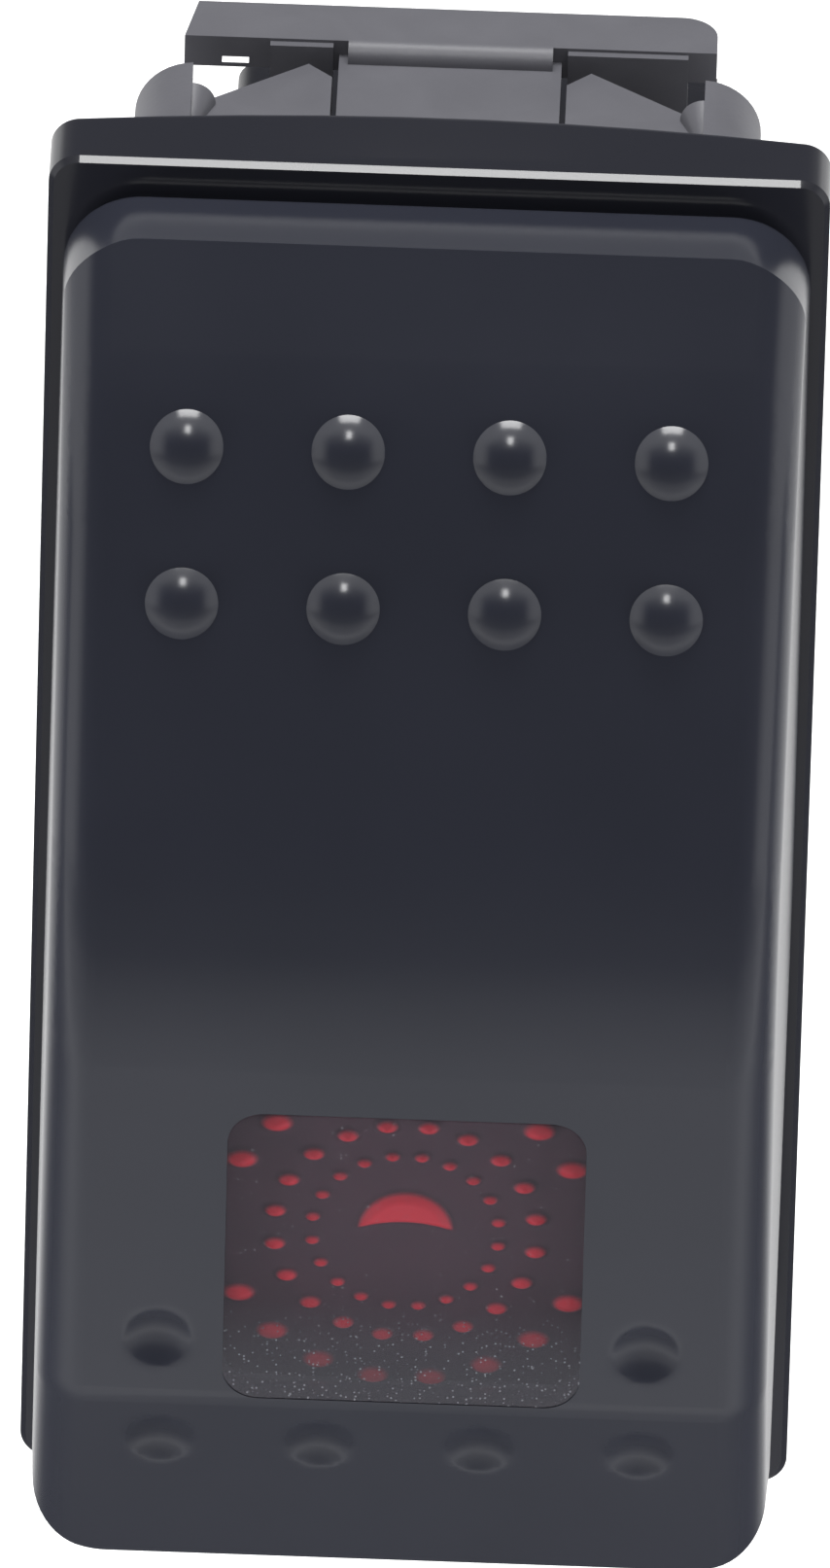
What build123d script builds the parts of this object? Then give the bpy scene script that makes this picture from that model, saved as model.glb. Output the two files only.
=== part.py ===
"""Illuminated two-position panel rocker switch.

Frame: the panel's front face is the plane Y = 0, the actuator faces -Y and the
lens end points down, so +Z runs towards the dotted end.  Heights are measured
outwards from the panel (along -Y) and depths inwards (along +Y).
"""
from build123d import *
from math import asin, cos, radians, sin, tan
import os

os.makedirs("parts", exist_ok=True)

# ---------------------------------------------------------------- bezel bracket
bezel_width = 25.6
bezel_length = 50.8          # between the straight front edges
bezel_offset = 0.4           # of its middle towards the end with the window
bezel_bow = 0.5              # the ends bulge out by this behind the front edge
bezel_thickness = 2.5
bezel_corner = 1.0
bezel_edge = 0.18
cutout_width = 21.1          # the panel's cut-out
cutout_length = 36.8
cutout_clearance = 0.15
wall = 1.3
well_corner = 1.0
bracket_depth = 15.0
post_width = 1.9
post_corner = 2.0
end_recess = 0.8             # the end walls stand this far inside the corner posts
pivot_depth = 0.5

# ---------------------------------------------------------------- snap latches
tongue_width = 7.4
tongue_slot = 0.2
tongue_root = 2.6            # depth at which the slots begin
web_root = 11.0
web_tip_depth = 16.5         # the sloped webs beside the tongue
web_fall = 2.95              # from a web's tip down to its foot
web_shoulder = 0.8           # from its tip down to the slot
web_tip_half = 4.7
catch_depths = (1.4, 3.4, 5.4, 7.4)
catch_length = 1.7
catch_reach = 0.75
catch_inset = 0.4
catch_root = 0.1
ear_radius = 0.8             # coned lead-ins beside the corner posts
ear_top = 11.6
ear_length = 2.1
bar_width = 17.7
bar_depth = 17.15
bar_thickness = 2.25
bar_height = 1.15
bar_reach = 0.55             # how far the bar stands out of the tongue
bar_corner = 1.2
bar_slant = 0.4
bar_fillet = 0.6             # at its root on the tongue
bar_shoulder = 0.3           # of the tongue left plain beside that fillet
bar_vent = 0.2               # height of the slanting vent through the bar's lower edge
bar_vent_width = 0.9
bar_vent_row = -7.15
bar_vent_drop = 0.87
vent_slant = 32.0
apron_step = 0.3             # stiffening aprons under the bar, in front of it
apron_drop = 2.05
apron_thickness = 0.9
apron_left = 6.0
apron_right = 7.9

# ---------------------------------------------------------------- rocker
throw = 15.0                 # whole travel in degrees
side_margin = 0.45           # between the edges of rocker and bezel
end_margin = 1.25
rocker_offset = 0.75         # the end with the window is the longer one
rocker_corner = 2.7
side_draft = 2.0
seat_gap = 0.3               # under the pressed skirt
crown_radius = 16.0          # pivot axis to the top of the crown
crown_arc = 18.8
face_slope = 12.3
end_slope = 26.0
crease_inset = 6.85          # from the mean end to where each end slope starts
crease_blend_lens = 3.0
crease_blend_dots = 24.0
side_fillet = 1.6            # along the sides of the crown
end_fillet = 0.4             # along its upper end
roof = 1.6
skirt_wall = 1.5
core_end_gap = 0.8           # between the core and the bracket's well
core_side_gap = 0.3
core_wall = 1.2
core_corner = 1.5
core_reach = 3.0             # how far the core hangs past the pivot axis
boss_radius = 3.1
boss_reach = 4.8
rib = 1.2

# ---------------------------------------------------------------- face marks
mark_pitch = 5.28
mark_columns = 4
dot_radius = 1.2
dot_height = 0.5
dot_rows = (11.98, 17.03)
dimple_radius = 1.15
dimple_depth = 0.35
upper_dimple_row = 14.9
upper_dimple_spread = 16.1
lower_dimple_step = 2.0      # past the crease

# ---------------------------------------------------------------- window
lens_size = 11.8
lens_corner = 1.2
lens_row = 11.45
lens_fit = 0.05
lens_front = 1.0             # thickness of the roof over the window's rim
lens_rim = 0.6
lens_rim_thickness = 0.35
diffuser_plate = 0.8
pip_gap = 0.05
pip_height = 0.3
ring_radii = (3.1, 4.35, 6.1)
ring_pips = 20
pip_radii = (0.2, 0.27, 0.38)
crescent_radius = 1.5
crescent_chord = 0.25

# ---------------------------------------------------------------- pivot pins
pin_radius = 1.0
pin_clearance = 0.05
pin_fit = 0.02
pin_overlap = 1.0            # how far a pin stands inside the core's wall
pin_recess = 0.05
pin_edge = 0.15

# ---------------------------------------------------------------- plunger
plunger_radius = 1.6
plunger_nose = 0.8           # radius of the flat on its coned tip
plunger_clearance = 0.05
plunger_gap = 0.1            # between its tip and the arm, at mid travel
plunger_length = 9.0
bore_top = 4.0
spring_wire = 0.2
spring_radius = 1.15
spring_turns = 4

# ---------------------------------------------------------------- base
base_side_gap = 0.45         # to the rocker's core
base_end_gap = 0.75          # to the bracket's well
base_setback = 2.2           # of the lower body's ends
base_top = 6.0
base_step = 14.0
base_bottom = 23.5
base_wall = 1.1
cavity_floor = 20.1
base_corner = 0.7
key_gap = 0.25               # from the polarising key to the well
key_length = 4.0
wing_length = 14.0
wing_gap = 0.1
wing_top = 6.5
wing_bottom = 13.0
latch_length = 5.0
latch_top = 8.1
latch_bottom = 11.7
latch_reach = 0.85
latch_land = 0.4
latch_root = 0.2
lid_thickness = 1.2
lid_gap = 0.05
lid_ledge = 0.55
lead_hole = 0.4
plunger_slot_width = 4.4
plunger_slot_length = 7.0
potting_thickness = 1.4

# ---------------------------------------------------------------- contacts
blade_width = 6.3
blade_thickness = 0.8
blade_reach = 8.0
blade_hole = 0.85
blade_tip = 0.9
slot_gap = 0.05
arm_depth = 13.2             # mid-plane of the arm at its fulcrum
arm_width = 6.2
arm_waist = 4.4              # between the notches that the fork passes through
arm_end_gap = 2.7            # from the arm's ends to the chamber's
arm_corner = 0.8
arm_thickness = 0.6
arm_tilt = 6.0
fork_gap = 0.15
fork_rise = 0.7
fork_knife = 0.25
fulcrum_gap = 0.06
ledge_inner = 2.4            # of the ledge that stops the arm
ledge_length = 1.2
rivet_radius = 1.4
rivet_head = 0.5
rivet_shank = 0.7
rivet_tail = 1.0
contact_gap = 0.2
pad_corner = 0.5
stop_gap = 0.1

# ---------------------------------------------------------------- lamp
lamp_inset = 1.7             # from the chamber's end to the lamp's axis
lamp_radius = 2.5
lamp_flange_radius = 2.9
lamp_flange = 1.0
lamp_body = 5.0
lamp_bevel = 0.8
lead_size = 0.5
lead_pitch = 2.54
resistor_radius = 0.9
resistor_length = 5.4
resistor_top = 10.1
foot_depth = 17.1
foot_thickness = 0.6
link_width = 1.8

# ---------------------------------------------------------------- sizes that follow
body_width = cutout_width - 2 * cutout_clearance
body_length = cutout_length - 2 * cutout_clearance
well_width = body_width - 2 * wall
end_plane = body_length / 2 - end_recess        # outer face of the recessed end walls
well_length = 2 * (end_plane - wall)
post_half = body_width / 2 - post_width
web_foot_depth = web_tip_depth - web_fall
bar_outer = end_plane + bar_reach

rocker_width = bezel_width - 2 * side_margin
rocker_length = bezel_length - 2 * end_margin
lens_half = rocker_length / 2 + rocker_offset
dots_half = rocker_length / 2 - rocker_offset
crease = rocker_length / 2 - crease_inset
core_width = well_width - 2 * core_side_gap
core_length = well_length - 2 * core_end_gap

base_width = core_width - 2 * core_wall - 2 * base_side_gap
base_upper_length = well_length - 2 * base_end_gap
base_lower_length = base_upper_length - 2 * base_setback
cavity_half = base_width / 2 - base_wall
chamber_half = base_lower_length / 2 - base_wall
arm_half_length = chamber_half - arm_end_gap
plunger_tip = arm_depth - arm_thickness / 2 - plunger_gap - pivot_depth
rivet_row = arm_half_length - rivet_radius
blade_pitch = rivet_row
lamp_row = chamber_half - lamp_inset

# ---------------------------------------------------------------- shared planes
tilt = radians(throw / 2)
slope = radians(face_slope)
outwards = Vector(0, -cos(tilt), sin(tilt))
lengthwise = Vector(0, sin(tilt), cos(tilt))
pivot = Vector(0, pivot_depth, 0)
body_side = Plane(origin=(0, 0, 0), x_dir=(0, -1, 0), z_dir=(-1, 0, 0))
rocker_side = Plane(origin=pivot, x_dir=outwards, z_dir=(-1, 0, 0))


def panel(height):
    """Plane parallel to the panel, `height` outwards from its face."""
    return Plane.XZ.offset(height)


def rocker_level(reach):
    """Plane across the rocker, `reach` outwards from the pivot axis."""
    return Plane(origin=pivot + outwards * reach, x_dir=(1, 0, 0), z_dir=outwards)


# The straight flanks of the crown meet above its arc, at this reach.
crown_apex = crown_radius + crown_arc * (1 / cos(slope) - 1)
crease_reach = crown_apex - crease * tan(slope)


def crown_plane(row, depth=0.0, end=-1):
    """Plane touching the crown at `row` from the middle, beyond its top arc.

    `end` is -1 towards the lens and 1 towards the dots.  The two straight
    slopes of each end are joined by a blend arc.
    """
    blend = crease_blend_dots if end > 0 else crease_blend_lens
    steep = radians(end_slope)
    start = crease - blend * tan((steep - slope) / 2) * cos(slope)
    centre_row = start - blend * sin(slope)
    centre_reach = crown_apex - start * tan(slope) - blend * cos(slope)
    angle = asin(min(max((row - centre_row) / blend, sin(slope)), sin(steep)))
    reach = centre_reach + blend * cos(angle) - (row - centre_row - blend * sin(angle)) * tan(angle)
    normal = outwards * cos(angle) + lengthwise * (end * sin(angle))
    origin = pivot + outwards * reach + lengthwise * (end * row)
    return Plane(origin=origin - normal * depth, x_dir=(1, 0, 0), z_dir=normal)


def crown_outline(drop, overrun, floor_reach, floor_slope):
    """Side outline under the crown: the crown lowered by `drop`, over a V floor."""
    low = -lens_half - overrun
    high = dots_half + overrun
    fall = tan(radians(end_slope))
    with BuildSketch(rocker_side) as outline:
        with BuildLine():
            top = FilletPolyline(
                (crease_reach - drop - (-low - crease) * fall, low),
                (crease_reach - drop, -crease),
                (crown_apex - drop, 0),
                (crease_reach - drop, crease),
                (crease_reach - drop - (high - crease) * fall, high),
                radius=[crease_blend_lens, crown_arc, crease_blend_dots],
            )
            Polyline(
                top @ 1,
                (floor_reach + high * floor_slope, high),
                (floor_reach, 0),
                (floor_reach - low * floor_slope, low),
                top @ 0,
            )
        make_face()
    return outline.sketch


# ================================================================ bezel bracket
half_bezel = bezel_length / 2
bow_chord = bezel_width / 2 - bezel_corner
slot_half = tongue_width / 2 + tongue_slot

with BuildPart() as bezel_bracket:
    # Flange whose ends swell from a straight front edge to a bowed rear edge
    with BuildSketch(panel(0)):
        with Locations((0, -bezel_offset)):
            RectangleRounded(bezel_width, bezel_length, bezel_corner)
    extrude(amount=bezel_thickness)
    front = bezel_bracket.faces().sort_by(Axis.Y)[0]
    chamfer(front.edges(), length=bezel_edge)
    for end in (1, -1):
        far = end * half_bezel - bezel_offset
        near = far - end * bezel_corner
        with BuildSketch(panel(bezel_thickness - bezel_edge)):
            with Locations((0, (near + far) / 2)):
                Rectangle(2 * bow_chord, bezel_corner)
        with BuildSketch(panel(0)):
            with BuildLine():
                Polyline((-bow_chord, far), (-bow_chord, near), (bow_chord, near), (bow_chord, far))
                ThreePointArc((bow_chord, far), (0, far + end * bezel_bow), (-bow_chord, far))
            make_face()
        loft(ruled=True)
    # Four-walled shroud that fills the panel's cut-out
    with BuildSketch(panel(0)):
        RectangleRounded(body_width, body_length, post_corner)
    extrude(amount=-bracket_depth)
    # Between the corner posts the end walls stand back
    for end in (1, -1):
        with BuildSketch(panel(0)):
            with Locations((0, end * body_length / 2)):
                Rectangle(2 * post_half, 2 * end_recess)
        extrude(amount=-bracket_depth, mode=Mode.SUBTRACT)
    # Well for the rocker's core and the base
    with BuildSketch(panel(bezel_thickness)):
        RectangleRounded(well_width, well_length, well_corner)
    extrude(amount=-(bezel_thickness + bracket_depth), mode=Mode.SUBTRACT)
    # The end wall between posts: two sloped webs and the sprung tongue between them
    for end in (1, -1):
        # Depth runs along the second axis of this plane, upwards at one end and downwards at the other
        face = Plane(origin=(0, 0, end * end_plane), x_dir=(1, 0, 0), z_dir=(0, 0, end))
        with BuildSketch(face):
            with Locations((0, end * (web_root + bracket_depth) / 2)):
                Rectangle(2 * post_half, bracket_depth - web_root)
        extrude(amount=-wall, mode=Mode.SUBTRACT)
        with BuildSketch(face):
            for side in (1, -1):
                with BuildLine():
                    Polyline(
                        (side * post_half, end * web_root),
                        (side * post_half, end * web_foot_depth),
                        (side * web_tip_half, end * web_tip_depth),
                        (side * slot_half, end * (web_tip_depth - web_shoulder)),
                        (side * slot_half, end * web_root),
                        (side * post_half, end * web_root),
                    )
                make_face()
            with Locations((0, end * (web_root + bar_depth + bar_thickness) / 2)):
                Rectangle(tongue_width, bar_depth + bar_thickness - web_root)
        extrude(amount=-wall)
        # Slots that free the tongue
        with BuildSketch(face):
            with Locations((0, end * (tongue_root + web_root) / 2)):
                with GridLocations(tongue_width + tongue_slot, 1, 2, 1):
                    Rectangle(tongue_slot, web_root - tongue_root)
        extrude(amount=-wall, mode=Mode.SUBTRACT)
        # Coned lead-ins beside the corner posts
        with Locations(
            *[
                Location((side * post_half, ear_top + ear_length / 2, end * end_plane), (90, 0, 0))
                for side in (1, -1)
            ]
        ):
            Cone(ear_radius, 0, ear_length)
        # Catch ridges on the tongue
        with BuildSketch(body_side):
            for depth in catch_depths:
                with BuildLine():
                    Polyline(
                        (-depth, end * (end_plane - catch_root)),
                        (-depth, end * (body_length / 2 + catch_reach)),
                        (-depth - catch_length, end * (end_plane - catch_root)),
                        (-depth, end * (end_plane - catch_root)),
                    )
                make_face()
        extrude(amount=tongue_width / 2 - catch_inset, both=True)
        # Cross bar at the tongue's foot, with aprons in front of it and a fillet on the tongue
        with BuildSketch(Plane.XY.offset(min(end * bar_outer, end * (bar_outer - bar_height)))) as bar_plan:
            with BuildLine():
                Polyline(
                    (-bar_width / 2, bar_depth),
                    (-bar_width / 2 + bar_slant, bar_depth + bar_thickness),
                    (bar_width / 2, bar_depth + bar_thickness),
                    (bar_width / 2, bar_depth),
                    (-bar_width / 2, bar_depth),
                )
            make_face()
            rear_right = bar_plan.vertices().sort_by_distance((bar_width / 2, bar_depth + bar_thickness))[0]
            fillet(rear_right, radius=bar_corner)
        extrude(amount=bar_height)
        apron_end = min(end * (bar_outer - catch_root), end * (end_plane - apron_drop))
        with BuildSketch(Plane.XY.offset(apron_end)):
            for inner, outer in ((-slot_half, -apron_left), (slot_half, apron_right)):
                with Locations(((inner + outer) / 2, bar_depth - apron_step + apron_thickness / 2)):
                    Rectangle(abs(outer - inner), apron_thickness)
        extrude(amount=bar_reach + apron_drop - catch_root)
        with BuildSketch(body_side):
            with BuildLine():
                Line((-bar_depth + bar_fillet, end * end_plane), (-bar_depth, end * end_plane))
                Line((-bar_depth, end * end_plane), (-bar_depth, end * (end_plane + bar_fillet)))
                RadiusArc(
                    (-bar_depth, end * (end_plane + bar_fillet)),
                    (-bar_depth + bar_fillet, end * end_plane),
                    end * bar_fillet,
                )
            make_face()
        extrude(amount=tongue_width / 2 - bar_shoulder, both=True)
        with Locations(
            Location((bar_vent_row, bar_depth, end * (bar_outer - bar_vent_drop)), (-end * vent_slant, 0, 0))
        ):
            Box(bar_vent_width, 2 * bar_height, bar_vent, mode=Mode.SUBTRACT)
    # Pivot holes and the windows that hold the base's latches
    with Locations(Location((0, pivot_depth, 0), (0, 90, 0))):
        Cylinder(pin_radius + pin_fit, body_width, mode=Mode.SUBTRACT)
    with BuildSketch(Plane.YZ):
        with Locations(((latch_top + latch_bottom) / 2, 0)):
            Rectangle(latch_bottom - latch_top, latch_length)
    extrude(amount=body_width, both=True, mode=Mode.SUBTRACT)
bezel_bracket.part.label = "bezel_bracket"
export_step(bezel_bracket.part, "parts/bezel_bracket.step")

# ================================================================ rocker
inner_width = rocker_width - 2 * skirt_wall
inner_length = rocker_length - 2 * skirt_wall
floor_reach = (bezel_thickness + pivot_depth + seat_gap) / cos(tilt)
floor_slope = tan(tilt)
roof_drop = roof / cos(slope)
lens_seat = lens_size + 2 * (lens_rim + lens_fit)
diffuser_depth = lens_front + lens_rim_thickness + pip_gap + pip_height

with BuildPart() as rocker_cavity:
    with BuildSketch(rocker_level(0)):
        with Locations((0, -rocker_offset)):
            RectangleRounded(inner_width, inner_length, rocker_corner - skirt_wall)
    extrude(amount=crown_radius)
    extrude(crown_outline(roof_drop, 0, -1, 0), amount=rocker_width, both=True, mode=Mode.INTERSECT)

with BuildPart() as rocker_core:
    # Box-shaped core with a plunger boss and two ribs, trimmed under the crown
    with BuildSketch(rocker_level(-core_reach)):
        RectangleRounded(core_width, core_length, core_corner)
        Rectangle(core_width - 2 * core_wall, core_length - 2 * core_wall, mode=Mode.SUBTRACT)
    extrude(amount=core_reach + crown_radius)
    with BuildSketch(rocker_level(bore_top)):
        Rectangle(core_width - core_wall, rib)
    extrude(amount=crown_radius - bore_top)
    with BuildSketch(rocker_level(-boss_reach)):
        Circle(boss_radius)
    extrude(amount=boss_reach + crown_radius)
    under_roof = crown_outline(roof_drop / 2, 0, -2 * boss_reach, 0)
    extrude(under_roof, amount=core_width, both=True, mode=Mode.INTERSECT)
    # Room for the lens and its diffuser
    with BuildSketch(crown_plane(lens_row)):
        Rectangle(lens_seat, lens_seat)
    extrude(amount=-(diffuser_depth + diffuser_plate + lens_fit), mode=Mode.SUBTRACT)

with BuildPart() as rocker:
    # Drafted block trimmed to the crowned side outline
    with BuildSketch(rocker_level(floor_reach)):
        with Locations((0, -rocker_offset)):
            Rectangle(rocker_width, rocker_length)
    extrude(amount=crown_radius, taper=side_draft)
    whole_side = crown_outline(0, skirt_wall, floor_reach, floor_slope)
    extrude(whole_side, amount=rocker_width, both=True, mode=Mode.INTERSECT)
    # Broad rounding along both sides of the crown, then rounded corners in plan
    crown_faces = rocker.faces().filter_by(
        lambda f: f.normal_at().dot(outwards) > f.normal_at().cross(outwards).length
    )
    across = crown_faces.edges().filter_by(Axis.X)
    fillet(ShapeList(crown_faces.edges() - across), radius=side_fillet)
    with BuildSketch(rocker_level(floor_reach)):
        with Locations((0, -rocker_offset)):
            RectangleRounded(rocker_width, rocker_length, rocker_corner)
    extrude(amount=crown_radius, taper=side_draft, mode=Mode.INTERSECT)
    upper_rim = rocker.edges().filter_by(Axis.X).sort_by(Axis(pivot, lengthwise))[-1]
    fillet(upper_rim, radius=end_fillet)
    # Raised dots at one end, dimples round the window at the other
    dome = (dot_radius**2 + dot_height**2) / (2 * dot_height)
    with Locations(*[crown_plane(row, dome - dot_height, 1) for row in dot_rows]):
        with GridLocations(mark_pitch, 1, mark_columns, 1):
            Sphere(dome, rotation=(90, 0, 0))
    dish = (dimple_radius**2 + dimple_depth**2) / (2 * dimple_depth)
    with Locations(crown_plane(upper_dimple_row, dimple_depth - dish)):
        with GridLocations(upper_dimple_spread, 1, 2, 1):
            Sphere(dish, rotation=(90, 0, 0), mode=Mode.SUBTRACT)
    with Locations(crown_plane(crease + lower_dimple_step, dimple_depth - dish)):
        with GridLocations(mark_pitch, 1, mark_columns, 1):
            Sphere(dish, rotation=(90, 0, 0), mode=Mode.SUBTRACT)
    # Hollow underneath, window, then the core
    add(rocker_cavity.part, mode=Mode.SUBTRACT)
    with BuildSketch(crown_plane(lens_row)):
        RectangleRounded(lens_size, lens_size, lens_corner)
    extrude(amount=-2 * roof, both=True, mode=Mode.SUBTRACT)
    with BuildSketch(crown_plane(lens_row, lens_front)):
        RectangleRounded(lens_seat, lens_seat, lens_corner)
    extrude(amount=-2 * roof, mode=Mode.SUBTRACT)
    add(rocker_core.part)
    # Pivot bearings and the plunger's bore
    with Locations(Location(pivot, (0, 90, 0))):
        Cylinder(pin_radius + pin_clearance, rocker_width, mode=Mode.SUBTRACT)
    with BuildSketch(rocker_level(-boss_reach)):
        Circle(plunger_radius + plunger_clearance)
    extrude(amount=boss_reach + bore_top, mode=Mode.SUBTRACT)
rocker.part.label = "rocker"
export_step(rocker.part, "parts/rocker.step")

# ================================================================ lens and diffuser
with BuildPart() as lens:
    # Window flush with the face, with a rim that seats under the roof
    with BuildSketch(crown_plane(lens_row)):
        RectangleRounded(lens_size - 2 * lens_fit, lens_size - 2 * lens_fit, lens_corner)
    extrude(amount=-lens_front)
    with BuildSketch(crown_plane(lens_row, lens_front)):
        RectangleRounded(lens_size + 2 * lens_rim, lens_size + 2 * lens_rim, lens_corner)
    extrude(amount=-lens_rim_thickness)
lens.part.label = "lens"
export_step(lens.part, "parts/lens.step")

with BuildPart() as diffuser:
    # Plate behind the window, with a crescent and rings of round pips facing it
    with BuildSketch(crown_plane(lens_row, diffuser_depth)):
        RectangleRounded(lens_size + lens_rim, lens_size + lens_rim, lens_corner)
    extrude(amount=-diffuser_plate)
    with BuildSketch(crown_plane(lens_row, diffuser_depth)):
        with Locations((0, crescent_chord)):
            Circle(crescent_radius)
        with Locations((0, crescent_chord - crescent_radius)):
            Rectangle(4 * crescent_radius, 2 * crescent_radius, mode=Mode.SUBTRACT)
        for radius, pip in zip(ring_radii, pip_radii):
            with PolarLocations(radius, ring_pips, start_angle=180 / ring_pips):
                RegularPolygon(pip, 6)
    extrude(amount=pip_height)
    # The widest ring reaches past the plate, so only its corner pips are left
    with BuildSketch(crown_plane(lens_row, diffuser_depth)):
        Rectangle(3 * lens_size, 3 * lens_size)
        Rectangle(lens_size, lens_size, mode=Mode.SUBTRACT)
    extrude(amount=pip_height, mode=Mode.SUBTRACT)
diffuser.part.label = "diffuser"
export_step(diffuser.part, "parts/diffuser.step")

# ================================================================ pivot pins
pin_inner = core_width / 2 - core_wall - pin_overlap
pin_outer = body_width / 2 - pin_recess
for side, name in ((-1, "pivot_pin_left"), (1, "pivot_pin_right")):
    with BuildPart() as pivot_pin:
        with BuildSketch(Plane(origin=(side * pin_inner, pivot_depth, 0), z_dir=(side, 0, 0))):
            Circle(pin_radius)
        extrude(amount=pin_outer - pin_inner)
        inner_rim = pivot_pin.edges().filter_by(GeomType.CIRCLE).sort_by_distance(pivot)[0]
        chamfer(inner_rim, length=pin_edge)
    pivot_pin.part.label = name
    export_step(pivot_pin.part, f"parts/{name}.step")

# ================================================================ plunger and spring
with BuildPart() as plunger:
    with BuildSketch(rocker_side):
        with BuildLine():
            Polyline(
                (-plunger_tip, 0),
                (-plunger_tip, plunger_nose),
                (-plunger_tip + plunger_radius - plunger_nose, plunger_radius),
                (-plunger_tip + plunger_length, plunger_radius),
                (-plunger_tip + plunger_length, 0),
                (-plunger_tip, 0),
            )
        make_face()
    revolve(axis=Axis(pivot, outwards))
plunger.part.label = "plunger"
export_step(plunger.part, "parts/plunger.step")

spring_bottom = -plunger_tip + plunger_length + 2 * spring_wire
spring_free = bore_top - spring_bottom - 2 * spring_wire
with BuildPart() as plunger_spring:
    with BuildLine():
        coil = Helix(
            pitch=spring_free / spring_turns,
            height=spring_free,
            radius=spring_radius,
            center=pivot + outwards * spring_bottom,
            direction=outwards,
        )
    with BuildSketch(Plane(origin=coil @ 0, z_dir=coil % 0)):
        RegularPolygon(spring_wire, 4)
    sweep(path=coil, is_frenet=True)
plunger_spring.part.label = "plunger_spring"
export_step(plunger_spring.part, "parts/plunger_spring.step")

# ================================================================ base
blade_rows = (blade_pitch, 0, -blade_pitch)
stop_depth = arm_depth + arm_thickness / 2 + arm_half_length * sin(radians(arm_tilt)) + stop_gap
slot_width = blade_width + 2 * slot_gap
slot_thickness = blade_thickness + 2 * slot_gap

with BuildPart() as base:
    with BuildSketch(panel(-base_top)):
        RectangleRounded(base_width, base_upper_length, base_corner)
    extrude(amount=-(base_step - base_top))
    with BuildSketch(panel(-base_step)):
        RectangleRounded(base_width, base_lower_length, base_corner)
    extrude(amount=-(base_bottom - base_step))
    # Polarising key along one side
    with BuildSketch(panel(-base_step)):
        with Locations((well_width / 4, base_lower_length / 2 - key_length / 2)):
            Rectangle(well_width / 2 - 2 * key_gap, key_length)
    extrude(amount=-(base_bottom - base_step))
    # Wings that locate the base in the bracket, with wedge-shaped latches
    with BuildSketch(panel(-wing_top)):
        Rectangle(well_width - 2 * wing_gap, wing_length)
    extrude(amount=-(wing_bottom - wing_top))
    wing = well_width / 2 - wing_gap
    with BuildSketch(Plane.XY):
        with BuildLine():
            Polyline(
                (wing - latch_root, latch_top + wing_gap),
                (wing + latch_reach, latch_bottom - wing_gap - latch_land),
                (wing + latch_reach, latch_bottom - wing_gap),
                (wing - latch_root, latch_bottom - wing_gap),
                (wing - latch_root, latch_top + wing_gap),
            )
        make_face()
        mirror(about=Plane.YZ)
    extrude(amount=(latch_length - 2 * wing_gap) / 2, both=True)
    # Contact chamber under a rebate for the lid
    with BuildSketch(panel(-base_top)):
        Rectangle(base_width - 2 * lid_ledge, base_upper_length - 2 * lid_ledge)
    extrude(amount=-lid_thickness, mode=Mode.SUBTRACT)
    with BuildSketch(panel(-base_top)):
        Rectangle(2 * cavity_half, base_lower_length - 2 * base_wall)
    extrude(amount=-(cavity_floor - base_top), mode=Mode.SUBTRACT)
    # Blade slots through the floor and the recess for the potting
    with BuildSketch(panel(-cavity_floor)):
        with Locations(*[(0, row) for row in blade_rows]):
            Rectangle(slot_width, slot_thickness)
    extrude(amount=-(base_bottom - cavity_floor), mode=Mode.SUBTRACT)
    with BuildSketch(panel(-base_bottom)):
        Rectangle(base_width - 2 * base_wall, base_lower_length - 2 * base_wall)
    extrude(amount=potting_thickness, mode=Mode.SUBTRACT)
    # Ledge that stops the resting end of the contact arm
    with BuildSketch(panel(-stop_depth)):
        with Locations(((ledge_inner + cavity_half) / 2, -arm_half_length + ledge_length / 2)):
            Rectangle(cavity_half - ledge_inner, ledge_length)
    extrude(amount=-(cavity_floor - stop_depth))
base.part.label = "base"
export_step(base.part, "parts/base.step")

with BuildPart() as base_lid:
    with BuildSketch(panel(-base_top)):
        Rectangle(base_width - 2 * lid_ledge - 2 * lid_gap, base_upper_length - 2 * lid_ledge - 2 * lid_gap)
        Rectangle(plunger_slot_width, plunger_slot_length, mode=Mode.SUBTRACT)
        with Locations((0, -lamp_row)):
            with GridLocations(lead_pitch, 1, 2, 1):
                Circle(lead_hole, mode=Mode.SUBTRACT)
    extrude(amount=-lid_thickness)
base_lid.part.label = "base_lid"
export_step(base_lid.part, "parts/base_lid.step")

with BuildPart() as terminal_potting:
    with BuildSketch(panel(-base_bottom)):
        Rectangle(base_width - 2 * base_wall, base_lower_length - 2 * base_wall)
        with Locations(*[(0, row) for row in blade_rows]):
            Rectangle(slot_width, slot_thickness, mode=Mode.SUBTRACT)
    extrude(amount=potting_thickness)
terminal_potting.part.label = "terminal_potting"
export_step(terminal_potting.part, "parts/terminal_potting.step")

# ================================================================ contact arm
tilt_arm = radians(arm_tilt)
arm_out = Vector(0, -cos(tilt_arm), -sin(tilt_arm))
arm_along = Vector(0, -sin(tilt_arm), cos(tilt_arm))
arm_pivot = Vector(0, arm_depth, 0)


def arm_level(rise):
    """Plane along the resting contact arm, `rise` outwards from its mid-plane."""
    return Plane(origin=arm_pivot + arm_out * rise, x_dir=(1, 0, 0), z_dir=arm_out)


with BuildPart() as contact_arm:
    with BuildSketch(arm_level(-arm_thickness / 2)):
        RectangleRounded(arm_width, 2 * arm_half_length, arm_corner)
        with GridLocations(arm_width, 1, 2, 1):
            Rectangle(arm_width - arm_waist, blade_thickness + 2 * fork_gap, mode=Mode.SUBTRACT)
        with Locations((0, rivet_row)):
            Circle(rivet_shank + pin_fit, mode=Mode.SUBTRACT)
    extrude(amount=arm_thickness)
contact_arm.part.label = "contact_arm"
export_step(contact_arm.part, "parts/contact_arm.step")

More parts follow.
